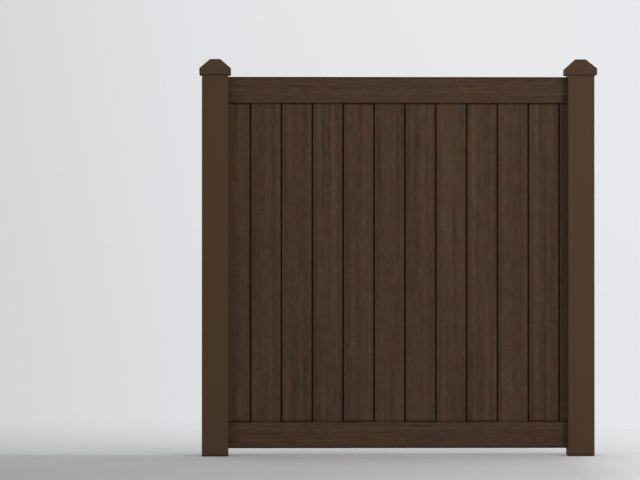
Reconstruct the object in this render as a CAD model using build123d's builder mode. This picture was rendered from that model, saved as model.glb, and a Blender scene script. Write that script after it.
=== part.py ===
from build123d import *
import math
import os

os.makedirs("parts", exist_ok=True)

# One bay of a vinyl privacy fence: two posts with caps, a slotted rail top and bottom,
# and tongue-and-groove boards that stand in the rails' pockets.
# X runs along the fence, Y from front to back, Z up. The origin is on the ground in the
# middle of the bay. Sizes are in millimetres.

# Bay
post_pitch = 1806.0
ground_gap = 38.0
panel_height = 1833.0

# Posts, extruded square tube
post_width = 130.0
post_wall = 3.8
post_corner_radius = 5.0
post_inner_chamfer = 1.2

# Rails, extruded slotted section
rail_height = 128.0
rail_thickness = 38.0
rail_wall = 2.5
rail_corner_radius = 3.0
rail_insertion = 50.0
rail_fit = 0.5
pocket_depth = 34.0
pocket_floor = 2.0
pocket_wall = 2.0
pocket_fit = 0.8
mid_web = 2.0

# Tabs lanced out of the rail ends, which catch behind the post wall
tab_length = 10.0
tab_height = 12.0
tab_lift = 3.0
tab_slit = 0.9
tab_clearance = 1.0

# Drain holes through the bottom rail
weep_diameter = 8.0
weep_spacing = 900.0
weep_count = 2

# Steel U-section in the bottom rail
stiffener_height = 40.0
stiffener_wall = 1.5
stiffener_bend_radius = 3.0
stiffener_fit = 0.5
stiffener_headroom = 5.0
stiffener_setback = 4.0

# Boards, hollow tongue-and-groove section
board_cover = 152.6
board_thickness = 22.2
board_skin = 1.6
board_rib = 1.5
board_edge_radius = 1.5
board_chambers = 5
joint_gap = 8.0
tongue_thickness = 7.0
tongue_reach = 8.0
tongue_wall = 1.5
tongue_chamfer = 1.0
groove_fit = 0.3
groove_end_clearance = 1.5
groove_wall = 1.5
expansion_gap = 6.0
first_strip = 109.2
narrowest_strip = 30.0

# Side channels, extruded U-section
channel_leg = 16.0
channel_wall = 1.6
channel_fit = 0.6
channel_tip_chamfer = 0.5
channel_top_gap = 1.0
rip_clearance = 3.5

# Channel screws
screw_diameter = 4.2
screw_length = 16.0
screw_point = 5.0
screw_head_diameter = 8.0
screw_head_height = 2.4
screw_head_top_diameter = 5.4
screw_hole_clearance = 0.05
screw_count = 3
screw_end_distance = 90.0

# Caps, moulded shells
cap_width = 155.0
cap_eave_height = 30.0
cap_flat_width = 51.5
cap_rise = 47.6
cap_wall = 3.0
cap_edge_radius = 4.0
cap_flat_edge_radius = 1.0
cap_clear_of_rail = 10.0
socket_depth = 28.0
socket_fit = 0.4
socket_wall = 2.0
socket_recess = 1.5
cap_rib = 2.0
cap_rib_spacing = 76.0
cap_rib_bearing = 12.0

# Worked out from the sizes above: the bay
bay_opening = post_pitch - post_width
panel_top = ground_gap + panel_height
eave_bottom = panel_top + cap_clear_of_rail
post_height = eave_bottom + socket_depth
post_inner_width = post_width - 2 * post_wall

# Rails: heights in the section are taken from the rail's closed edge
rail_length = bay_opening + 2 * rail_insertion
chamber_width = rail_thickness - 2 * rail_wall
stiffener_chamber = stiffener_height + stiffener_headroom
upper_chamber_base = rail_wall + stiffener_chamber + mid_web
pocket_base = rail_height - pocket_depth
upper_chamber_top = pocket_base - pocket_floor
pocket_width = board_thickness + 2 * pocket_fit
side_chamber_inner = pocket_width / 2 + pocket_wall
side_chamber_outer = chamber_width / 2
tab_level = (upper_chamber_base + upper_chamber_top) / 2
bottom_rail_top = ground_gap + rail_height
top_rail_bottom = panel_top - rail_height

# Boards
board_bottom = ground_gap + pocket_base
board_top = panel_top - pocket_base - expansion_gap
board_length = board_top - board_bottom
last_strip = (bay_opening - first_strip) % board_cover
layout_shift = max(0.0, narrowest_strip - last_strip)
first_joint_x = -bay_opening / 2 + first_strip - layout_shift
joint_count = 1 + int((bay_opening / 2 - first_joint_x) // board_cover)
board_count = joint_count + 1
boards_span = bay_opening - 2 * (channel_wall + rip_clearance)

# Side channels and their screws
channel_inner_width = board_thickness + 2 * channel_fit
channel_outer_width = channel_inner_width + 2 * channel_wall
channel_length = top_rail_bottom - bottom_rail_top - channel_top_gap
screw_hole_diameter = screw_diameter + 2 * screw_hole_clearance
screw_pitch = (channel_length - 2 * screw_end_distance) / (screw_count - 1)
screw_levels = [bottom_rail_top + screw_end_distance + i * screw_pitch for i in range(screw_count)]

# Caps
socket_width = post_width + 2 * socket_fit
cap_height = cap_eave_height + cap_rise
cap_rib_length = cap_width / 2 - post_width / 2 + cap_rib_bearing


def draw_rail_section():
    """Slotted rail, its closed edge on the plane's X axis and its pocket facing +Y."""
    with Locations((0, rail_height / 2)):
        RectangleRounded(rail_thickness, rail_height, rail_corner_radius)
    with Locations((0, rail_height)):
        Rectangle(pocket_width, pocket_depth, align=(Align.CENTER, Align.MAX), mode=Mode.SUBTRACT)
    with Locations((0, rail_wall)):
        Rectangle(chamber_width, stiffener_chamber, align=(Align.CENTER, Align.MIN), mode=Mode.SUBTRACT)
    with Locations((0, tab_level)):
        Rectangle(chamber_width, upper_chamber_top - upper_chamber_base, mode=Mode.SUBTRACT)
    side_chamber_centre = (side_chamber_inner + side_chamber_outer) / 2
    side_chamber_width = side_chamber_outer - side_chamber_inner
    side_chamber_height = pocket_depth - rail_wall
    with Locations((-side_chamber_centre, pocket_base), (side_chamber_centre, pocket_base)):
        Rectangle(
            side_chamber_width,
            side_chamber_height,
            align=(Align.CENTER, Align.MIN),
            mode=Mode.SUBTRACT,
        )


def draw_tab_windows():
    """Openings in the rail's side walls that each lanced tab leaves, seen from the side."""
    tab_free_x = bay_opening / 2 + post_wall + tab_clearance
    window_length = tab_length + tab_slit
    window_x = tab_free_x - tab_slit + window_length / 2
    with Locations((-window_x, 0), (window_x, 0)):
        Rectangle(window_length, tab_height + 2 * tab_slit)


def draw_tabs():
    """Lanced tabs seen from above, leaning out of the side walls towards the panel."""
    free_x = bay_opening / 2 + post_wall + tab_clearance
    root_x = free_x + tab_length
    outer_y = rail_thickness / 2
    inner_y = outer_y - rail_wall
    for end in (-1, 1):
        for side in (-1, 1):
            Polygon(
                (end * root_x, side * inner_y),
                (end * root_x, side * outer_y),
                (end * free_x, side * (outer_y + tab_lift)),
                (end * free_x, side * (inner_y + tab_lift)),
                align=None,
            )


def draw_weep_holes():
    with GridLocations(weep_spacing, 0, weep_count, 1):
        Circle(weep_diameter / 2)


def make_rail(closed_edge, up, drained):
    """One rail: closed_edge is the height of its closed edge, up is 1 or -1 towards its pocket."""
    section_plane = Plane(origin=(-rail_length / 2, 0, closed_edge), x_dir=(0, up, 0), z_dir=(1, 0, 0))
    tab_height_level = closed_edge + up * tab_level
    with BuildPart() as rail:
        with BuildSketch(section_plane):
            draw_rail_section()
        extrude(amount=rail_length)
        for side in (-1, 1):
            wall_inside = Plane.XZ.offset(side * (rail_thickness / 2 - 2 * rail_wall))
            wall_inside = wall_inside.move(Location((0, 0, tab_height_level)))
            with BuildSketch(wall_inside):
                draw_tab_windows()
            extrude(amount=side * 3 * rail_wall, mode=Mode.SUBTRACT)
        with BuildSketch(Plane.XY.offset(tab_height_level - tab_height / 2)):
            draw_tabs()
        extrude(amount=tab_height)
        if drained:
            with BuildSketch(Plane.XY.offset(closed_edge)):
                draw_weep_holes()
            extrude(amount=rail_height, mode=Mode.SUBTRACT)
    return rail


def draw_board_section(left_joint_x):
    """Hollow board between two joint lines: groove on its left, tongue on its right."""
    left_x = left_joint_x + joint_gap / 2
    right_x = left_joint_x + board_cover - joint_gap / 2
    tongue_tip_x = right_x + joint_gap + tongue_reach
    groove_depth = tongue_reach + groove_end_clearance
    groove_width = tongue_thickness + 2 * groove_fit
    chambers_start = left_x + groove_depth + groove_wall
    chambers_end = right_x - board_skin
    chamber_width_each = (chambers_end - chambers_start - (board_chambers - 1) * board_rib) / board_chambers
    chamber_height = board_thickness - 2 * board_skin
    cheek_height = board_thickness / 2 - board_skin - groove_width / 2 - groove_wall
    cheek_y = groove_width / 2 + groove_wall + cheek_height / 2
    from_left = (Align.MIN, Align.CENTER)

    with Locations((left_x, 0)):
        RectangleRounded(right_x - left_x, board_thickness, board_edge_radius, align=from_left)
    Polygon(
        (right_x - board_skin, -tongue_thickness / 2),
        (tongue_tip_x - tongue_chamfer, -tongue_thickness / 2),
        (tongue_tip_x, tongue_chamfer - tongue_thickness / 2),
        (tongue_tip_x, tongue_thickness / 2 - tongue_chamfer),
        (tongue_tip_x - tongue_chamfer, tongue_thickness / 2),
        (right_x - board_skin, tongue_thickness / 2),
        align=None,
    )
    with Locations((left_x, 0)):
        Rectangle(groove_depth, groove_width, align=from_left, mode=Mode.SUBTRACT)
    with Locations((left_x + board_skin, -cheek_y), (left_x + board_skin, cheek_y)):
        Rectangle(groove_depth - board_skin, cheek_height, align=from_left, mode=Mode.SUBTRACT)
    for i in range(board_chambers):
        with Locations((chambers_start + i * (chamber_width_each + board_rib), 0)):
            Rectangle(chamber_width_each, chamber_height, align=from_left, mode=Mode.SUBTRACT)
    with Locations((right_x, 0)):
        Rectangle(
            tongue_tip_x - tongue_wall - right_x,
            tongue_thickness - 2 * tongue_wall,
            align=from_left,
            mode=Mode.SUBTRACT,
        )


def make_post(post_x, panel_side, routed_sides):
    """Square tube on post_x, with rail holes in routed_sides and screw holes on panel_side."""
    with BuildPart() as post:
        with BuildSketch():
            with Locations((post_x, 0)):
                RectangleRounded(post_width, post_width, post_corner_radius)
        extrude(amount=post_height)
        with BuildSketch() as bore:
            with Locations((post_x, 0)):
                Rectangle(post_inner_width, post_inner_width)
            chamfer(bore.vertices(), post_inner_chamfer)
        extrude(amount=post_height, mode=Mode.SUBTRACT)
        hole_height = rail_height + rail_fit
        for side in routed_sides:
            with BuildSketch(Plane.YZ.offset(post_x + side * post_width / 2)):
                with Locations((0, ground_gap + hole_height / 2), (0, top_rail_bottom + hole_height / 2)):
                    RectangleRounded(rail_thickness + 2 * rail_fit, hole_height, rail_corner_radius)
            extrude(amount=-side * 2 * post_wall, mode=Mode.SUBTRACT)
        with BuildSketch(Plane.YZ.offset(post_x + panel_side * post_width / 2)):
            with Locations(*[(0, level) for level in screw_levels]):
                Circle(screw_hole_diameter / 2)
        extrude(amount=-panel_side * 2 * post_wall, mode=Mode.SUBTRACT)
    return post


# Posts: the left one is a line post, routed on both sides, and the right one an end post
post_left = make_post(-post_pitch / 2, panel_side=1, routed_sides=(-1, 1))
post_left.part.label = "post_left"
export_step(post_left.part, "parts/post_left.step")

post_right = make_post(post_pitch / 2, panel_side=-1, routed_sides=(-1,))
post_right.part.label = "post_right"
export_step(post_right.part, "parts/post_right.step")

# Rails
top_rail = make_rail(panel_top, up=-1, drained=False)
top_rail.part.label = "top_rail"
export_step(top_rail.part, "parts/top_rail.step")

bottom_rail = make_rail(ground_gap, up=1, drained=True)
bottom_rail.part.label = "bottom_rail"
export_step(bottom_rail.part, "parts/bottom_rail.step")

# Steel U-section lying on the bottom rail's lower wall
with BuildPart() as bottom_rail_stiffener:
    stiffener_length = rail_length - 2 * stiffener_setback
    stiffener_width = chamber_width - 2 * stiffener_fit
    stiffener_base = ground_gap + rail_wall
    with BuildSketch(Plane.YZ.offset(-stiffener_length / 2)) as stiffener_section:
        with Locations((0, stiffener_base)):
            Rectangle(stiffener_width, stiffener_height, align=(Align.CENTER, Align.MIN))
        fillet(stiffener_section.vertices().group_by(Axis.Y)[0], stiffener_bend_radius)
        with Locations((0, stiffener_base + stiffener_wall)):
            Rectangle(
                stiffener_width - 2 * stiffener_wall,
                stiffener_height,
                align=(Align.CENTER, Align.MIN),
                mode=Mode.SUBTRACT,
            )
    extrude(amount=stiffener_length)
    with BuildSketch(Plane.XY.offset(ground_gap)):
        draw_weep_holes()
    extrude(amount=rail_height, mode=Mode.SUBTRACT)
bottom_rail_stiffener.part.label = "bottom_rail_stiffener"
export_step(bottom_rail_stiffener.part, "parts/bottom_rail_stiffener.step")

# Boards, from left to right. The end ones are ripped to fit between the side channels.
for i in range(board_count):
    with BuildPart() as board:
        with BuildSketch(Plane.XY.offset(board_bottom)):
            draw_board_section(first_joint_x + (i - 1) * board_cover)
            if i in (0, board_count - 1):
                Rectangle(boards_span, board_thickness, mode=Mode.INTERSECT)
        extrude(amount=board_length)
    board_name = f"board_{i + 1:02d}"
    board.part.label = board_name
    export_step(board.part, f"parts/{board_name}.step")

# Side channels and their screws, one set at each post
for name, side in (("left", -1), ("right", 1)):
    post_face_x = side * bay_opening / 2
    with BuildPart() as channel:
        with BuildSketch(Plane.XY.offset(bottom_rail_top)) as channel_section:
            with Locations((post_face_x - side * channel_leg / 2, 0)):
                Rectangle(channel_leg, channel_outer_width)
            leg_tips = channel_section.vertices().sort_by(Axis.X, reverse=side < 0)[:2]
            chamfer(leg_tips, channel_tip_chamfer)
            with Locations((post_face_x - side * (channel_wall + channel_leg / 2), 0)):
                Rectangle(channel_leg, channel_inner_width, mode=Mode.SUBTRACT)
        extrude(amount=channel_length)
        with BuildSketch(Plane.YZ.offset(post_face_x)):
            with Locations(*[(0, level) for level in screw_levels]):
                Circle(screw_hole_diameter / 2)
        extrude(amount=-side * 2 * channel_wall, mode=Mode.SUBTRACT)
    channel.part.label = f"channel_{name}"
    export_step(channel.part, f"parts/channel_{name}.step")

    with BuildPart() as screws:
        for level in screw_levels:
            seat = Plane(
                origin=(post_face_x - side * channel_wall, 0, level),
                x_dir=(-side, 0, 0),
                z_dir=(0, -1, 0),
            )
            with BuildSketch(seat):
                with BuildLine():
                    Polyline(
                        (screw_head_height, 0),
                        (screw_head_height, screw_head_top_diameter / 2),
                        (0, screw_head_diameter / 2),
                        (0, screw_diameter / 2),
                        (screw_point - screw_length, screw_diameter / 2),
                        (-screw_length, 0),
                        close=True,
                    )
                make_face()
            revolve(axis=Axis(seat.origin, (1, 0, 0)))
    screws.part.label = f"channel_screws_{name}"
    export_step(screws.part, f"parts/channel_screws_{name}.step")

# Cap, drawn about its own middle with its lower edge at zero: the outer form
slope_run = (cap_width - cap_flat_width) / 2
slope_from_upright = math.degrees(math.atan(slope_run / cap_rise))
with BuildPart() as cap_form:
    with BuildSketch():
        Rectangle(cap_width, cap_width)
    extrude(amount=cap_eave_height)
    with BuildSketch(Plane.XY.offset(cap_eave_height)):
        Rectangle(cap_width, cap_width)
    extrude(amount=cap_rise, taper=slope_from_upright)
    corner_edges = cap_form.edges().filter_by(Axis.Z)
    eave_edges = cap_form.edges().group_by(Axis.Z)[-3]
    hip_edges = cap_form.edges().group_by(Axis.Z)[-2]
    fillet(corner_edges + eave_edges + hip_edges, cap_edge_radius)
    fillet(cap_form.faces().sort_by(Axis.Z)[-1].edges(), cap_flat_edge_radius)

# The space inside it, one wall thickness in from the eave, the slope and the flat top
slope_length = (slope_run**2 + cap_rise**2) ** 0.5
slope_drop = cap_wall * slope_length / slope_run
inner_cap_width = cap_width - 2 * cap_wall
inner_eave_height = cap_eave_height + cap_wall * cap_rise / slope_run - slope_drop
with BuildPart() as cap_space:
    with BuildSketch():
        Rectangle(inner_cap_width, inner_cap_width)
    extrude(amount=inner_eave_height)
    with BuildSketch(Plane.XY.offset(inner_eave_height)):
        Rectangle(inner_cap_width, inner_cap_width)
    extrude(amount=cap_height - cap_wall - inner_eave_height, taper=slope_from_upright)

# Socket that fits round the post, and ribs that hold it and bear on the post's top
with BuildPart() as cap_bracing:
    with BuildSketch(Plane.XY.offset(socket_recess)):
        Rectangle(socket_width + 2 * socket_wall, socket_width + 2 * socket_wall)
        Rectangle(socket_width, socket_width, mode=Mode.SUBTRACT)
        with PolarLocations((cap_width - cap_rib_length) / 2, 4):
            with GridLocations(0, cap_rib_spacing, 1, 2):
                Rectangle(cap_rib_length, cap_rib)
    extrude(amount=cap_height)
    with BuildSketch():
        Rectangle(socket_width, socket_width)
    extrude(amount=socket_depth, mode=Mode.SUBTRACT)
    add(cap_space.part, mode=Mode.INTERSECT)

for name, side in (("left", -1), ("right", 1)):
    with BuildPart() as cap:
        with Locations((side * post_pitch / 2, 0, eave_bottom)):
            add(cap_form.part)
            add(cap_space.part, mode=Mode.SUBTRACT)
            add(cap_bracing.part)
    cap.part.label = f"cap_{name}"
    export_step(cap.part, f"parts/cap_{name}.step")
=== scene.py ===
import math
import bpy
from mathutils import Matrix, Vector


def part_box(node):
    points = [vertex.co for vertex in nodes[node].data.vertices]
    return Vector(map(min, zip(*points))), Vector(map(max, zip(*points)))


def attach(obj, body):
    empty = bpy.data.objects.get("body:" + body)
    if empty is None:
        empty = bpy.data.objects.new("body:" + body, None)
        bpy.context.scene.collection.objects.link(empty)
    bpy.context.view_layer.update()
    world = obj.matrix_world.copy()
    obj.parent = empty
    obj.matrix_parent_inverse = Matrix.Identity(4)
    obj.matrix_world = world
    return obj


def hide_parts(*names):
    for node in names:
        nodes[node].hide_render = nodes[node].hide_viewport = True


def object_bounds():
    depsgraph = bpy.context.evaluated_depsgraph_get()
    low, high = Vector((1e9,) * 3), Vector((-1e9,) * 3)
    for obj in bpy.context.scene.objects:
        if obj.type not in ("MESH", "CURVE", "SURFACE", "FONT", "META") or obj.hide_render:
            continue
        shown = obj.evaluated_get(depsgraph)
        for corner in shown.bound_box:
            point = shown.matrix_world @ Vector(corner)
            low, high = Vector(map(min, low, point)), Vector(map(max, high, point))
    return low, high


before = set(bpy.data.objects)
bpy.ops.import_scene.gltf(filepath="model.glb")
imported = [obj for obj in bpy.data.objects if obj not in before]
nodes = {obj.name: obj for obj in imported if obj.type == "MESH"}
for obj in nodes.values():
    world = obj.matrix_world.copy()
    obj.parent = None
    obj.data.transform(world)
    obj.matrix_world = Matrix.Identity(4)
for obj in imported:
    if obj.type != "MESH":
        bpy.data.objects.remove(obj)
cadLow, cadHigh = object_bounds()
print("frame loaded:", len(nodes), "nodes")

mm = 0.001
railNames = ["top_rail", "bottom_rail"]
boardNames = sorted(name for name in nodes if name.startswith("board_"))
fullBoards = boardNames[1:-1]


def toLinear(hexColour):
    # "#rrggbb" as it is seen on a screen, turned into the linear colour that a shader wants
    channels = [int(hexColour[i:i + 2], 16) / 255 for i in (1, 3, 5)]
    return [c / 12.92 if c <= 0.04045 else ((c + 0.055) / 1.055) ** 2.4 for c in channels] + [1]


def addNode(tree, kind, inputs=None, stops=None, **settings):
    # inputs: socket name or number to a value, a "#" colour, a socket, or a node whose first output is meant
    node = tree.nodes.new(kind)
    for name, value in settings.items():
        setattr(node, name, value)
    for key, value in (inputs or {}).items():
        if isinstance(value, bpy.types.Node):
            value = value.outputs[0]
        if isinstance(value, str) and value.startswith("#"):
            value = toLinear(value)
        if isinstance(value, bpy.types.NodeSocket):
            tree.links.new(value, node.inputs[key])
        else:
            node.inputs[key].default_value = value
    for i, (place, tone) in enumerate(stops or []):  # a ramp's places, each with a grey or a "#" colour
        points = node.color_ramp.elements
        point = points[i] if i < 2 else points.new(place)
        point.position = place
        point.color = toLinear(tone) if isinstance(tone, str) else [tone, tone, tone, 1]
    return node


def newMaterial(name, look):
    # a material with nothing but its shader, which has the look's own index and share of metal
    material = bpy.data.materials.new(name)
    material.use_nodes = True
    tree = material.node_tree
    tree.nodes.clear()
    shader = addNode(tree, "ShaderNodeBsdfPrincipled", {
        "IOR": look["ior"], "Specular IOR Level": look["specular"], "Metallic": look.get("metallic", 0)})
    addNode(tree, "ShaderNodeOutputMaterial", {"Surface": shader})
    return material, tree, shader


def addRelief(tree, shader, look, height, depth, **settings):
    # bump of that depth, and a finish from the look's first roughness at height 0 to its second at height 1
    smooth, rough = look["roughness"]
    finish = addNode(tree, "ShaderNodeMapRange", {"Value": height, "To Min": smooth, "To Max": rough})
    tree.links.new(finish.outputs[0], shader.inputs["Roughness"])
    bump = addNode(tree, "ShaderNodeBump", {"Height": height, "Distance": depth}, **settings)
    tree.links.new(bump.outputs[0], shader.inputs["Normal"])


def stretchedNoise(tree, where, size, detail):
    # noise whose spots are as large as size says, in metres along the three axes of where
    scaled = addNode(tree, "ShaderNodeVectorMath", {0: where, 1: [1 / s for s in size]}, operation="MULTIPLY")
    return addNode(tree, "ShaderNodeTexNoise", {"Vector": scaled, "Scale": 1, "Detail": detail})


def dress(names, material):
    for name in names:
        nodes[name].data.materials.clear()
        nodes[name].data.materials.append(material)


# the places that the film and the painted shade follow, read from the frame
boardLow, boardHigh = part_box(fullBoards[0])
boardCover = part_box(fullBoards[1])[0].x - boardLow.x
jointGap = 8 * mm
firstJointX = boardLow.x - jointGap / 2
railLow = {name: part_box(name)[0].z for name in railNames}
railHigh = {name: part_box(name)[1].z for name in railNames}


# wood-grain film laminated on extruded PVC: a dull satin print, its grain in long streaks and
# shorter flecks, with dark pores embossed in it that are a little rougher than the rest. Real
# pores are too fine to show, so these are drawn wider, at a millimetre.
boardFilm = {
    "reddish": "#452f25",
    "olive": "#403426",
    "grey": "#41322a",
    "yellow": "#413223",
    "filmReach": 0.8 * mm,         # how far the film goes round the edges, before the bare PVC
    "grains": [                    # width across, length along, octaves, strength
        (23 * mm, 1100 * mm, 2, 0.92),
        (18 * mm, 60 * mm, 2, 0.58),
        (6 * mm, 34 * mm, 2, 0.34),
        (1.3 * mm, 90 * mm, 1, 0.50),
    ],
    "hueSize": (38 * mm, 150 * mm),
    "hueEdges": (0.35, 0.65),      # the noise's levels where one hue ends and the other is full
    "hueShift": 31,                # metres between the two pairs' patches, so that they don't agree
    # the darker ends beside each joint are painted shade
    "bands": [                     # share of the board's cover, from its left joint, and tone
        (0, 0.20), (0.13, 0.22), (0.23, 0.84), (0.28, 0.78), (0.37, 0.38), (0.48, 0.46),
        (0.57, 0.42), (0.67, 0.88), (0.74, 0.50), (0.84, 0.48), (1, 0.20),
    ],
    "bandStrength": 0.26,
    "cutShift": 7.3,               # metres of film between one board's stretch and another's
    "pore": (1.0 * mm, 16 * mm),   # width across and length along
    "poreEdge": (0.56, 0.66),      # the noise's levels where a pore begins and where it is deepest
    "poreTone": (1.03, 0.80),      # tone outside and in the deepest pore
    "emboss": 0.05 * mm,
    "roughness": (0.55, 0.75),     # outside and in the deepest pore
    "ior": 1.53,
    "specular": 0.04,
}

# the same film on the rails, where its grain runs level
railFilm = {
    "reddish": "#432f25",
    "olive": "#3f3326",
    "grey": "#413129",
    "yellow": "#423122",
    "grains": [                    # width across, length along, octaves, strength
        (16 * mm, 420 * mm, 2, 0.50),
        (10 * mm, 70 * mm, 2, 0.85),
        (3.5 * mm, 30 * mm, 2, 0.26),
        (1.3 * mm, 90 * mm, 1, 0.50),
    ],
    "hueSize": (36 * mm, 200 * mm),
    "hueEdges": (0.35, 0.65),
    "hueShift": 31,
    "bands": [                     # share of the print's height, from the bottom rail's lower edge, and tone
        (0, 0.42), (0.08, 0.55), (0.20, 0.45), (0.32, 0.55), (0.45, 0.45), (0.55, 0.35),
        (0.64, 0.55), (0.74, 0.95), (0.84, 0.60), (0.93, 0.45), (1, 0.42),
    ],
    "bandHeight": 128 * mm,        # the print's repeat
    "bandStrength": 0.34,
    "pore": (1.0 * mm, 16 * mm),
    "poreEdge": (0.56, 0.66),
    "poreTone": (1.03, 0.80),
    "emboss": 0.05 * mm,
    "roughness": (0.55, 0.75),
    "ior": 1.53,
    "specular": 0.04,
}


# painted shade in corners, in bands across the height: where the boards and channels go into the rails, along
# the rails' outer edges and at the posts' feet
paintedShadeAndBarePvc = {
    # the painted shade's colour, which is also that of the bare PVC
    "colour": "#281303",           # also that of the bare PVC in the joints, which the film doesn't reach
    "boards": {                    # share on every second board, then on the others
        "bottom_rail": (0.85, 0.50),
        "top_rail": (0.92, 0.68),
    },
    "channels": {"bottom_rail": 0.75, "top_rail": 0.85},
    "alongRails": {                # full up to, gone at, measured from the rail
        "bottom_rail": (5 * mm, 14 * mm),
        "top_rail": (4 * mm, 12 * mm),
    },
    "railEdges": (4 * mm, 10 * mm, 0.85),      # full up to, gone at, share
    "feet": (3 * mm, 18 * mm, 0.65),
}


def makePaintedShade(tree, z, bands):
    # each band: height, 1 or -1 for above or below it, full up to, gone at, share. Gives the share of painted
    # shade.
    total = None
    for height, away, full, gone, share in bands:
        band = addNode(tree, "ShaderNodeMapRange", {
            "Value": z, "From Min": height + away * full, "From Max": height + away * gone,
            "To Min": share, "To Max": 0})
        total = addNode(tree, "ShaderNodeMath", {0: total, 1: band}, operation="MAXIMUM") if total else band
    return total


def paintedShadeAtRails(tree, z, shares):
    # painted shade over the bottom rail and under the top rail
    bottom = (railHigh["bottom_rail"], 1, *paintedShadeAndBarePvc["alongRails"]["bottom_rail"], shares["bottom_rail"])
    top = (railLow["top_rail"], -1, *paintedShadeAndBarePvc["alongRails"]["top_rail"], shares["top_rail"])
    return makePaintedShade(tree, z, [bottom, top])


def makeFilm(name, film, lay):
    # lay(tree, xyz) gives the grain's own coordinates with Z along the grain, a tone to multiply
    # with, and the share of dark, from painted shade and bare PVC
    material, tree, shader = newMaterial(name, film)
    place = addNode(tree, "ShaderNodeTexCoord").outputs["Object"]
    xyz = addNode(tree, "ShaderNodeSeparateXYZ", {0: place}).outputs
    where, layTone, dark = lay(tree, xyz)
    tone = 1 - sum(strength for _, _, _, strength in film["grains"]) / 2
    for width, length, detail, strength in film["grains"]:
        streaks = stretchedNoise(tree, where, (width, width, length), detail)
        tone = addNode(tree, "ShaderNodeMath", {0: streaks, 1: strength, 2: tone}, operation="MULTIPLY_ADD")
    tone = addNode(tree, "ShaderNodeMath", {0: tone, 1: layTone}, operation="MULTIPLY")

    width, length = film["pore"]
    begin, deepest = film["poreEdge"]
    outside, inside = film["poreTone"]
    spots = stretchedNoise(tree, where, (width, width, length), 1)
    pores = addNode(tree, "ShaderNodeMapRange", {"Value": spots, "From Min": begin, "From Max": deepest})
    inked = addNode(tree, "ShaderNodeMapRange", {"Value": pores, "To Min": outside, "To Max": inside})
    tone = addNode(tree, "ShaderNodeMath", {0: tone, 1: inked}, operation="MULTIPLY")
    addRelief(tree, shader, film, pores, film["emboss"], invert=True)

    # two pairs of hues in patches of their own, and half of each
    width, length = film["hueSize"]
    ends, full = film["hueEdges"]
    hues = []
    for low, high, aside in (("olive", "reddish", 0), ("grey", "yellow", film["hueShift"])):
        moved = addNode(tree, "ShaderNodeVectorMath", {0: where, 1: (aside, 0, 0)}, operation="ADD")
        patch = stretchedNoise(tree, moved, (width, width, length), 2)
        share = addNode(tree, "ShaderNodeMapRange", {"Value": patch, "From Min": ends, "From Max": full})
        mixed = addNode(tree, "ShaderNodeMix", {0: share, 6: film[low], 7: film[high]}, data_type="RGBA")
        hues.append(mixed.outputs[2])
    hue = addNode(tree, "ShaderNodeMix", {0: 0.5, 6: hues[0], 7: hues[1]}, data_type="RGBA").outputs[2]
    printed = addNode(tree, "ShaderNodeHueSaturation", {"Value": tone, "Color": hue}).outputs[0]
    shown = addNode(tree, "ShaderNodeMix", {0: dark, 6: printed, 7: paintedShadeAndBarePvc["colour"]}, data_type="RGBA")
    tree.links.new(shown.outputs[2], shader.inputs["Base Color"])
    return material


def layOnBoards(tree, xyz):
    x, y, z = xyz
    fromJoint = addNode(tree, "ShaderNodeMath", {0: x, 1: firstJointX}, operation="SUBTRACT")
    covers = addNode(tree, "ShaderNodeMath", {0: fromJoint, 1: boardCover}, operation="DIVIDE")
    number = addNode(tree, "ShaderNodeMath", {0: covers}, operation="FLOOR")
    across = addNode(tree, "ShaderNodeMath", {0: covers}, operation="FRACT")
    # each board is cut from another stretch of the film
    chance = addNode(tree, "ShaderNodeTexWhiteNoise", {"W": number}, noise_dimensions="1D")
    shift = boardFilm["cutShift"]
    along = addNode(tree, "ShaderNodeMath", {0: chance, 1: shift, 2: z}, operation="MULTIPLY_ADD")
    where = addNode(tree, "ShaderNodeCombineXYZ", {0: x, 1: y, 2: along})
    # light and dark bands repeated on every board: partly the print's, partly painted shade in the darker
    # strips beside each joint
    bands = addNode(tree, "ShaderNodeValToRGB", {0: across}, stops=boardFilm["bands"])
    strength = boardFilm["bandStrength"]
    tone = addNode(tree, "ShaderNodeMath", {
        0: bands, 1: strength, 2: 1 - strength / 2}, operation="MULTIPLY_ADD")
    # the joints' bare PVC, and painted shade where the boards go into the rails
    second = addNode(tree, "ShaderNodeMath", {0: number, 1: 1}, operation="PINGPONG")
    shares = {}
    for rail, (onSecond, onOthers) in paintedShadeAndBarePvc["boards"].items():
        shares[rail] = addNode(tree, "ShaderNodeMapRange", {
            "Value": second, "To Min": onOthers, "To Max": onSecond})
    inward = addNode(tree, "ShaderNodeMath", {0: y}, operation="ABSOLUTE")
    filmEdge = boardHigh.y - boardFilm["filmReach"]
    bare = addNode(tree, "ShaderNodeMath", {0: inward, 1: filmEdge}, operation="LESS_THAN")
    paintedShadeShare = paintedShadeAtRails(tree, z, shares)
    dark = addNode(tree, "ShaderNodeMath", {0: bare, 1: paintedShadeShare}, operation="MAXIMUM")
    return where, tone, dark


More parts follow.
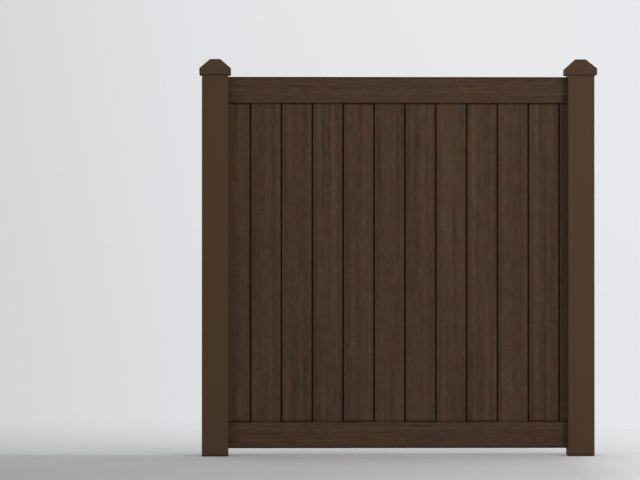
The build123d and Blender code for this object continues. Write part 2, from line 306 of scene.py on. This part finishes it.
def layOnRails(tree, xyz):
    x, y, z = xyz
    where = addNode(tree, "ShaderNodeCombineXYZ", {0: z, 1: y, 2: x})
    start = railLow["bottom_rail"]
    end = start + railFilm["bandHeight"]
    repeat = addNode(tree, "ShaderNodeMath", {0: z, 1: end, 2: start}, operation="WRAP")
    upward = addNode(tree, "ShaderNodeMapRange", {"Value": repeat, "From Min": start, "From Max": end})
    bands = addNode(tree, "ShaderNodeValToRGB", {0: upward}, stops=railFilm["bands"])
    strength = railFilm["bandStrength"]
    tone = addNode(tree, "ShaderNodeMath", {
        0: bands, 1: strength, 2: 1 - strength / 2}, operation="MULTIPLY_ADD")
    # painted shade along the top rail's upper edge and the bottom rail's lower edge
    dark = makePaintedShade(tree, z, [
        (railHigh["top_rail"], -1, *paintedShadeAndBarePvc["railEdges"]), (railLow["bottom_rail"], 1, *paintedShadeAndBarePvc["railEdges"])])
    return where, tone, dark


boardMaterial = makeFilm("woodGrainFilmBoards", boardFilm, layOnBoards)
dress(boardNames, boardMaterial)
dress(railNames, makeFilm("woodGrainFilmRails", railFilm, layOnRails))
print("films made")


# the ten full boards, drawn once in section and set out by a Geometry Nodes tree. The ripped
# boards at the ends stay the frame's own.
boardShape = {
    "edgeRadius": 1.5 * mm,
    "edgeSteps": 5,
    "skin": 1.6 * mm,
    "rib": 1.5 * mm,
    "chambers": 5,
    "tongue": 7 * mm,
    "tongueReach": 8 * mm,
    "tongueWall": 1.5 * mm,
    "tongueChamfer": 1 * mm,
    "grooveFit": 0.3 * mm,
    "grooveDepth": 9.5 * mm,
    "grooveWall": 1.5 * mm,
    "weld": 0.01 * mm,             # points nearer than this are one
}


def rectangle(x0, y0, x1, y1):
    return [(x0, y0), (x1, y0), (x1, y1), (x0, y1)]


def boardLoops():
    # the section's outline, then its hollows, from the joint line on the board's left
    s = boardShape
    left = jointGap / 2
    right = boardCover - left
    half = boardHigh.y
    tip = right + jointGap + s["tongueReach"]
    t = s["tongue"] / 2
    g = t + s["grooveFit"]
    c = s["tongueChamfer"]
    r = s["edgeRadius"]

    def corner(x, y, start):
        steps = [start + i * 90 / s["edgeSteps"] for i in range(s["edgeSteps"] + 1)]
        return [(x + r * math.cos(math.radians(a)), y + r * math.sin(math.radians(a))) for a in steps]

    grooveEnd = left + s["grooveDepth"]
    outline = corner(left + r, r - half, 180) + corner(right - r, r - half, 270)
    outline += [(right, -t), (tip - c, -t), (tip, c - t), (tip, t - c), (tip - c, t), (right, t)]
    outline += corner(right - r, half - r, 0) + corner(left + r, half - r, 90)
    outline += [(left, g), (grooveEnd, g), (grooveEnd, -g), (left, -g)]

    start = grooveEnd + s["grooveWall"]
    end = right - s["skin"]
    width = (end - start - (s["chambers"] - 1) * s["rib"]) / s["chambers"]
    inner = half - s["skin"]
    hollows = []
    for i in range(s["chambers"]):
        x = start + i * (width + s["rib"])
        hollows.append(rectangle(x, -inner, x + width, inner))
    cheek = g + s["grooveWall"]
    hollows.append(rectangle(left + s["skin"], cheek, grooveEnd, inner))
    hollows.append(rectangle(left + s["skin"], -inner, grooveEnd, -cheek))
    core = t - s["tongueWall"]
    hollows.append(rectangle(right, -core, tip - s["tongueWall"], core))
    return [outline] + hollows


def makeBoardTree():
    # fills the section, pulls it up into a board, closes its foot and sets boards side by side
    tree = bpy.data.node_groups.new("boardRow", "GeometryNodeTree")
    tree.is_modifier = True
    sockets = {
        "Section": "NodeSocketGeometry", "Boards": "NodeSocketInt", "Cover": "NodeSocketFloat",
        "Length": "NodeSocketFloat", "Start": "NodeSocketVector", "Film": "NodeSocketMaterial"}
    for name, kind in sockets.items():
        tree.interface.new_socket(name, in_out="INPUT", socket_type=kind)
    tree.interface.new_socket("Row", in_out="OUTPUT", socket_type="NodeSocketGeometry")
    given = addNode(tree, "NodeGroupInput").outputs
    curve = addNode(tree, "GeometryNodeMeshToCurve", {"Mesh": given["Section"]})
    filled = addNode(tree, "GeometryNodeFillCurve", {"Curve": curve})
    up = addNode(tree, "ShaderNodeCombineXYZ", {2: given["Length"]})
    pulled = addNode(tree, "GeometryNodeExtrudeMesh", {"Mesh": filled, "Offset": up, "Individual": False})
    foot = addNode(tree, "GeometryNodeFlipFaces", {"Mesh": filled})
    joined = addNode(tree, "GeometryNodeJoinGeometry")
    tree.links.new(pulled.outputs[0], joined.inputs[0])
    tree.links.new(foot.outputs[0], joined.inputs[0])
    board = addNode(tree, "GeometryNodeMergeByDistance", {"Geometry": joined, "Distance": boardShape["weld"]})
    step = addNode(tree, "ShaderNodeCombineXYZ", {0: given["Cover"]})
    places = addNode(tree, "GeometryNodeMeshLine", {
        "Count": given["Boards"], "Start Location": given["Start"], "Offset": step})
    row = addNode(tree, "GeometryNodeInstanceOnPoints", {"Points": places, "Instance": board})
    real = addNode(tree, "GeometryNodeRealizeInstances", {0: row})
    coated = addNode(tree, "GeometryNodeSetMaterial", {"Geometry": real, "Material": given["Film"]})
    addNode(tree, "NodeGroupOutput", {0: coated})
    return tree


def makeBoards():
    points, edges = [], []
    for loop in boardLoops():
        first = len(points)
        points += [(x, y, 0) for x, y in loop]
        edges += [(first + i, first + (i + 1) % len(loop)) for i in range(len(loop))]
    mesh = bpy.data.meshes.new("boardSection")
    mesh.from_pydata(points, edges, [])
    section = bpy.data.objects.new("boardSection", mesh)
    bpy.context.scene.collection.objects.link(section)
    modifier = section.modifiers.new("boardRow", "NODES")
    modifier.node_group = makeBoardTree()
    values = {
        "Boards": len(fullBoards), "Cover": boardCover, "Length": boardHigh.z - boardLow.z,
        "Start": (firstJointX, 0, boardLow.z), "Film": boardMaterial}
    for item in modifier.node_group.interface.items_tree:
        if item.name in values:
            modifier[item.identifier] = values[item.name]
    evaluated = section.evaluated_get(bpy.context.evaluated_depsgraph_get())
    row = bpy.data.objects.new("fullBoards", bpy.data.meshes.new_from_object(evaluated))
    section.modifiers.remove(modifier)
    bpy.data.objects.remove(section)
    bpy.context.scene.collection.objects.link(row)
    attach(row, "root")
    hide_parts(*fullBoards)
    print("boards made:", len(row.data.polygons), "faces")


makeBoards()


# extruded PVC, satin from the die: a plain colour with faint lines along the post. The die's
# own lines are too fine to show, so these are drawn wider.
postVinyl = {
    "colour": "#463526",
    "channelColour": "#473524",
    "dieLine": (2.5 * mm, 2.5 * mm, 500 * mm),   # a line's size along x, y and z
    "dieLineTone": 0.08,
    "lineDepth": 0.02 * mm,
    "roughness": (0.50, 0.70),
    "ior": 1.53,
    "specular": 0.04,
}


# moulded PVC, dull from a lightly textured mould: no direction, a light orange peel and the
# faint cloud of the melt's flow
capVinyl = {
    "colour": "#453528",
    "peel": 1.6 * mm,
    "peelDepth": 0.03 * mm,
    "cloud": 35 * mm,
    "cloudTone": 0.10,
    "roughness": (0.86, 1.0),
    "ior": 1.53,
    "specular": 0.04,
}


def makeVinyl(name, look, colour, spots, strength, relief, depth, paintedShadeOf=None):
    # spots and relief are sizes in metres along x, y and z; the last argument, given (tree, z), gives the
    # share of painted shade
    material, tree, shader = newMaterial(name, look)
    place = addNode(tree, "ShaderNodeTexCoord").outputs["Object"]
    cloud = stretchedNoise(tree, place, spots, 2)
    tone = addNode(tree, "ShaderNodeMath", {
        0: cloud, 1: strength, 2: 1 - strength / 2}, operation="MULTIPLY_ADD")
    face = addNode(tree, "ShaderNodeHueSaturation", {"Value": tone, "Color": colour}).outputs[0]
    if paintedShadeOf:
        z = addNode(tree, "ShaderNodeSeparateXYZ", {0: place}).outputs[2]
        shadedFace = addNode(tree, "ShaderNodeMix", {
            0: paintedShadeOf(tree, z), 6: face, 7: paintedShadeAndBarePvc["colour"]}, data_type="RGBA")
        face = shadedFace.outputs[2]
    tree.links.new(face, shader.inputs["Base Color"])
    addRelief(tree, shader, look, stretchedNoise(tree, place, relief, 1), depth)
    return material


# painted shade at the posts' feet, where they stand on the floor
def paintedShadeAtFeet(tree, z):
    return makePaintedShade(tree, z, [(0, 1, *paintedShadeAndBarePvc["feet"])])


# painted shade on the channels over the bottom rail and under the top rail
def paintedShadeOnChannels(tree, z):
    return paintedShadeAtRails(tree, z, paintedShadeAndBarePvc["channels"])


dieLine = postVinyl["dieLine"]
# the posts get painted shade at their feet, the channels where they go into the rails
for part, colour, paintedShadeOf in (("post", postVinyl["colour"], paintedShadeAtFeet),
                           ("channel", postVinyl["channelColour"], paintedShadeOnChannels)):
    vinyl = makeVinyl("extrudedPvc" + part.title(), postVinyl, colour, dieLine, postVinyl["dieLineTone"],
                      dieLine, postVinyl["lineDepth"], paintedShadeOf)
    dress([part + "_left", part + "_right"], vinyl)
capMaterial = makeVinyl("mouldedPvcCap", capVinyl, capVinyl["colour"], [capVinyl["cloud"]] * 3,
                        capVinyl["cloudTone"], [capVinyl["peel"]] * 3, capVinyl["peelDepth"])
dress(["cap_left", "cap_right"], capMaterial)


# hot-dip galvanised steel sheet, folded: dull grey zinc in crystals a few millimetres across,
# each a little lighter or darker and duller or brighter than the next
galvanised = {
    "colours": ["#9fa3a5", "#b4b7b8"],
    "crystal": 7 * mm,
    "crystalStep": 0.01 * mm,
    "roughness": (0.38, 0.52),
    "metallic": 1,
    "ior": 1.5,
    "specular": 0.5,
}


# zinc-plated steel screws: a bright clean grey. The plating's grain is too fine to show, so it
# is drawn coarser, at 0.8 mm.
screwZinc = {
    "colours": ["#b4b6b8", "#c6c7c4"],
    "crystal": 0.8 * mm,
    "crystalStep": 0.002 * mm,
    "roughness": (0.25, 0.35),
    "metallic": 1,
    "ior": 1.5,
    "specular": 0.5,
}


def makeZinc(name, look):
    material, tree, shader = newMaterial(name, look)
    place = addNode(tree, "ShaderNodeTexCoord").outputs["Object"]
    crystals = addNode(tree, "ShaderNodeTexVoronoi", {"Vector": place, "Scale": 1 / look["crystal"]})
    share = addNode(tree, "ShaderNodeSeparateColor", {0: crystals.outputs["Color"]})
    low, high = look["colours"]
    colour = addNode(tree, "ShaderNodeMix", {0: share, 6: low, 7: high}, data_type="RGBA").outputs[2]
    tree.links.new(colour, shader.inputs["Base Color"])
    addRelief(tree, shader, look, share, look["crystalStep"])
    return material


dress(["bottom_rail_stiffener"], makeZinc("galvanisedSteel", galvanised))
dress(["channel_screws_left", "channel_screws_right"], makeZinc("zincPlatedSteel", screwZinc))
print("posts, caps and steel dressed")


# floor rolled with matte paint, without gloss: its greys hold a painted shadow to the west, a painted pool of
# light to the east and painted light near the fence. It turns into the background behind the fence and far
# from it. Places are in metres from the middle of the fence's foot.
studio = {
    "floorReach": 12.0,
    # painted shadow to the west and a painted pool of light to the east
    "floorPaintedLightAndShade": [         # along the fence
        (-2.0, "#a5a5a5"), (-0.6, "#b0b0b0"), (-0.1, "#b6b6b6"), (0.75, "#bcbcbc"),
        (1.0, "#d1d1d1"), (1.15, "#d5d5d5"), (1.6, "#e4e4e4"),
    ],
    # painted light that grows from the front place to the near one
    "floorFront": (-1.5, 0.95),    # a place in front of the fence, and the floor's tone up to there
    "floorNearPaintedLight": (-0.5, 1.05),     # a nearer one, and the tone from there on
    "floorFade": [            # places across the fence, and the background's share there
        (-0.20, 0), (0.03, 0.05), (0.12, 0.22), (0.25, 0.38), (0.5, 0.50), (1.0, 0.64),
        (1.8, 0.79), (2.7, 0.90), (3.9, 1),
    ],
    "farFade": (2.9, 6.0),         # distances where the floor begins to go and where it is gone
    # painted light falloff on the background: darker to the west
    "backPaintedFalloff": [          # by the sight line's slope to the east
        (-0.074, "#d7d8da"), (-0.0444, "#dddee0"), (-0.01665, "#e2e3e6"), (0.0185, "#e5e6e8"),
        (0.0703, "#e8e9eb"), (0.111, "#e9eaed"),
    ],
    # painted falloff, darker low down
    "backLow": (-0.03, 0.96),      # upward slope and strength where the background is darkest
    "backHigh": (0.076, 1.0),      # and where it is full
    "worldLight": 0.80,
    "lamps": {                # place, power in watts, size, whether it lights the floor too
        "rightLamp": ((3.8, -5.2, 3.4), 180, 2.2, True),
        "leftLamp": ((-8.0, -6.6, 3.6), 200, 3.0, True),
        "backLamp": ((-2.4, 6.4, 3.2), 200, 3.0, False),
    },
}


def toneAlong(tree, value, stops):
    # tones that change with a value, each stop at the value where it is met
    first, last = stops[0][0], stops[-1][0]
    share = addNode(tree, "ShaderNodeMapRange", {"Value": value, "From Min": first, "From Max": last})
    return addNode(tree, "ShaderNodeValToRGB", {0: share}, stops=[
        ((place - first) / (last - first), tone) for place, tone in stops])


def makeFloor():
    reach = studio["floorReach"]
    mesh = bpy.data.meshes.new("studioFloor")
    mesh.from_pydata([(x, y, 0) for x, y in rectangle(-reach, -reach, reach, reach)], [], [(0, 1, 2, 3)])
    floor = bpy.data.objects.new("studioFloor", mesh)
    bpy.context.scene.collection.objects.link(floor)
    material = bpy.data.materials.new("mattePaintFloor")
    material.use_nodes = True
    tree = material.node_tree
    tree.nodes.clear()
    place = addNode(tree, "ShaderNodeTexCoord").outputs["Object"]
    xyz = addNode(tree, "ShaderNodeSeparateXYZ", {0: place})
    fade = toneAlong(tree, xyz.outputs[1], studio["floorFade"])
    away = addNode(tree, "ShaderNodeVectorMath", {0: place}, operation="LENGTH").outputs["Value"]
    begin, gone = studio["farFade"]
    far = addNode(tree, "ShaderNodeMapRange", {"Value": away, "From Min": begin, "From Max": gone})
    fade = addNode(tree, "ShaderNodeMath", {0: fade, 1: far}, operation="MAXIMUM")
    # the floor's greys with their painted shadow, painted pool of light and painted light near the fence
    grey = toneAlong(tree, xyz.outputs[0], studio["floorPaintedLightAndShade"])
    (front, frontTone), (near, nearTone) = studio["floorFront"], studio["floorNearPaintedLight"]
    depth = addNode(tree, "ShaderNodeMapRange", {
        "Value": xyz.outputs[1], "From Min": front, "From Max": near,
        "To Min": frontTone, "To Max": nearTone})
    grey = addNode(tree, "ShaderNodeHueSaturation", {"Value": depth, "Color": grey})
    # only what the camera sees fades: the floor still takes shadows and throws light back
    seen = addNode(tree, "ShaderNodeLightPath").outputs["Is Camera Ray"]
    clear = addNode(tree, "ShaderNodeMath", {0: fade, 1: seen}, operation="MULTIPLY")
    ground = addNode(tree, "ShaderNodeBsdfDiffuse", {"Color": grey})
    nothing = addNode(tree, "ShaderNodeBsdfTransparent")
    mixed = addNode(tree, "ShaderNodeMixShader", {0: clear, 1: ground, 2: nothing})
    addNode(tree, "ShaderNodeOutputMaterial", {"Surface": mixed})
    mesh.materials.append(material)
    return floor


def makeWorld():
    # the camera, gloss and glass see the background, and everything else gets plain white light
    world = bpy.data.worlds.new("studio")
    bpy.context.scene.world = world
    world.use_nodes = True
    tree = world.node_tree
    tree.nodes.clear()
    way = addNode(tree, "ShaderNodeTexCoord").outputs["Generated"]
    xyz = addNode(tree, "ShaderNodeSeparateXYZ", {0: way})
    # the background, darker to the west and low down in painted light falloff
    back = toneAlong(tree, xyz.outputs[0], studio["backPaintedFalloff"])
    (low, lowStrength), (high, highStrength) = studio["backLow"], studio["backHigh"]
    height = addNode(tree, "ShaderNodeMapRange", {
        "Value": xyz.outputs[2], "From Min": low, "From Max": high,
        "To Min": lowStrength, "To Max": highStrength})
    path = addNode(tree, "ShaderNodeLightPath").outputs
    seen = path["Is Camera Ray"]
    for ray in ("Is Glossy Ray", "Is Transmission Ray"):
        seen = addNode(tree, "ShaderNodeMath", {0: seen, 1: path[ray]}, operation="MAXIMUM")
    shown = addNode(tree, "ShaderNodeBackground", {"Color": back, "Strength": height})
    light = addNode(tree, "ShaderNodeBackground", {"Color": "#ffffff", "Strength": studio["worldLight"]})
    mixed = addNode(tree, "ShaderNodeMixShader", {0: seen, 1: light, 2: shown})
    addNode(tree, "ShaderNodeOutputWorld", {"Surface": mixed})


def addLamp(name, place, power, size, onFloor):
    lamp = bpy.data.lights.new(name, "AREA")
    lamp.energy = power
    lamp.shape = "DISK"
    lamp.size = size
    body = bpy.data.objects.new(name, lamp)
    bpy.context.scene.collection.objects.link(body)
    body.location = place
    aim = (cadLow + cadHigh) / 2 - body.location
    body.rotation_euler = aim.to_track_quat("-Z", "Y").to_euler()
    if not onFloor:
        skipped = bpy.data.collections.new(name + "Skips")
        skipped.objects.link(studioFloor)
        skipped.collection_objects[0].light_linking.link_state = "EXCLUDE"
        body.light_linking.receiver_collection = skipped


studioFloor = makeFloor()
makeWorld()
for lampName, values in studio["lamps"].items():
    addLamp(lampName, *values)
print("studio built")


# camera: far off and level with the fence's middle, turned a little to the right
cameraSetup = {
    "place": (-0.70, -17.0, 0.96),
    "lens": 193.50,
    "sensor": 36,
    "turn": 0.01852,   # radians towards +X
    "tilt": 0.00621,   # radians upwards
    "sight": 200,      # metres
}
camera = bpy.data.objects.new("camera", bpy.data.cameras.new("camera"))
bpy.context.scene.collection.objects.link(camera)
camera.location = cameraSetup["place"]
camera.rotation_euler = (math.pi / 2 + cameraSetup["tilt"], 0, -cameraSetup["turn"])
camera.data.lens = cameraSetup["lens"]
camera.data.sensor_width = cameraSetup["sensor"]
camera.data.clip_end = cameraSetup["sight"]
bpy.context.scene.camera = camera
bpy.context.scene.view_settings.view_transform = "Standard"
print("camera set")
